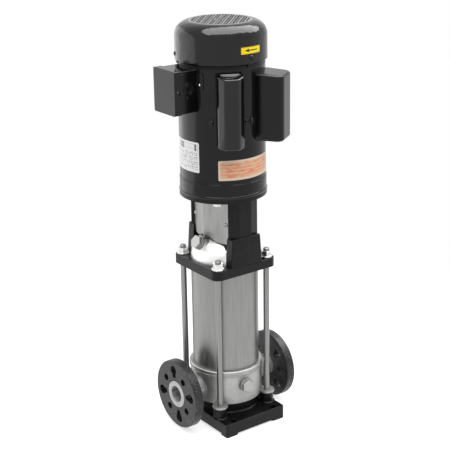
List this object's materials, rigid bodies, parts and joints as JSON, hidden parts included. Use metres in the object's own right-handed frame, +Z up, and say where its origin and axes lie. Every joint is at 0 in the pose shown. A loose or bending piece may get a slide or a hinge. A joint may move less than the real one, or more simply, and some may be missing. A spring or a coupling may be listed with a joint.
{
  "type": "multistage booster pump",
  "caption": "Upright multistage booster pump with an in-line flanged base, stainless sleeve held by staybolts, motor stool and a single-phase motor.",
  "frame": {"origin": "middle of the base plate's underside, on the shaft's axis", "axes": "+Z up along the shaft, +X along the pipe towards the outlet, conduit box on the -X side"},
  "size_m": [0.2556, 0.2192, 0.8136],
  "materials": {
    "cast_black": "semi-gloss black paint on cast iron",
    "enamel_black": "gloss black enamel on sheet steel",
    "stainless_blasted": "bead blasted stainless",
    "stainless_satin": "satin drawn stainless",
    "stainless_cast": "pickled stainless casting",
    "zinc_steel": "bright zinc plate",
    "machined_steel": "turned",
    "seal_rubber": "moulded rubber",
    "hard_carbon": "lapped carbon",
    "winding_copper": "varnished copper wire",
    "moulded_plastic": "moulded",
    "can_aluminium": "drawn can"
  },
  "bodies": {
    "pump": {"base_plate": "cast_black", "pump_chamber": "stainless_blasted", "drain_plug": "stainless_cast", "outer_sleeve": "stainless_satin", "sleeve_seals": "seal_rubber", "plug_seals": "seal_rubber", "inlet_guide": "stainless_satin", "discharge_guide": "stainless_satin", "journal_bushes": "hard_carbon", "stage_chamber_1": "stainless_satin", "stage_chamber_2": "stainless_satin", "stage_chamber_3": "stainless_satin", "stage_chamber_4": "stainless_satin", "stage_chamber_5": "stainless_satin", "pump_head": "stainless_cast", "priming_plug": "stainless_cast", "seal_plate": "stainless_blasted", "seal_stationary_ring": "hard_carbon", "motor_stool": "cast_black", "staybolts": "stainless_satin", "staybolt_nuts": "zinc_steel", "guard_inlet_side": "stainless_satin", "guard_outlet_side": "stainless_satin", "lower_end_bell": "cast_black", "motor_bolts": "zinc_steel", "motor_frame": "enamel_black", "upper_end_bell": "cast_black", "through_bolts": "zinc_steel", "stator_core": "machined_steel", "stator_windings": "winding_copper", "bearing_outer_rings": "machined_steel", "fan_cover": "enamel_black", "fan_cover_screws": "zinc_steel", "conduit_box": "enamel_black", "conduit_cover": "enamel_black", "terminal_board": "moulded_plastic", "start_capacitor_cover": "enamel_black", "run_capacitor_cover": "enamel_black", "start_capacitor": "can_aluminium", "run_capacitor": "can_aluminium", "pan_screws": "zinc_steel"},
    "rotor": {"impeller_1": "stainless_satin", "impeller_2": "stainless_satin", "impeller_3": "stainless_satin", "impeller_4": "stainless_satin", "impeller_5": "stainless_satin", "shaft_sleeves": "stainless_satin", "pump_shaft": "stainless_satin", "shaft_nut": "stainless_satin", "seal_rotor": "hard_carbon", "coupling_half_inlet": "machined_steel", "coupling_half_outlet": "machined_steel", "coupling_pin": "machined_steel", "coupling_screws": "zinc_steel", "motor_shaft": "machined_steel", "rotor_core": "machined_steel", "bearing_inner_rings": "machined_steel", "cooling_fan": "moulded_plastic"},
    "inlet_flange": {"inlet_flange": "cast_black"},
    "outlet_flange": {"outlet_flange": "cast_black"}
  },
  "joints": [
    {"name": "shaft_spin", "type": "hinge", "parent": "pump", "child": "rotor", "pos_m": [0, 0, 0.35], "axis": [0, 0, 1], "continuous": true},
    {"name": "inlet_flange_turn", "type": "hinge", "parent": "pump", "child": "inlet_flange", "pos_m": [-0.115, 0, 0.075], "axis": [1, 0, 0], "continuous": true},
    {"name": "outlet_flange_turn", "type": "hinge", "parent": "pump", "child": "outlet_flange", "pos_m": [0.115, 0, 0.075], "axis": [1, 0, 0], "continuous": true}
  ]
}
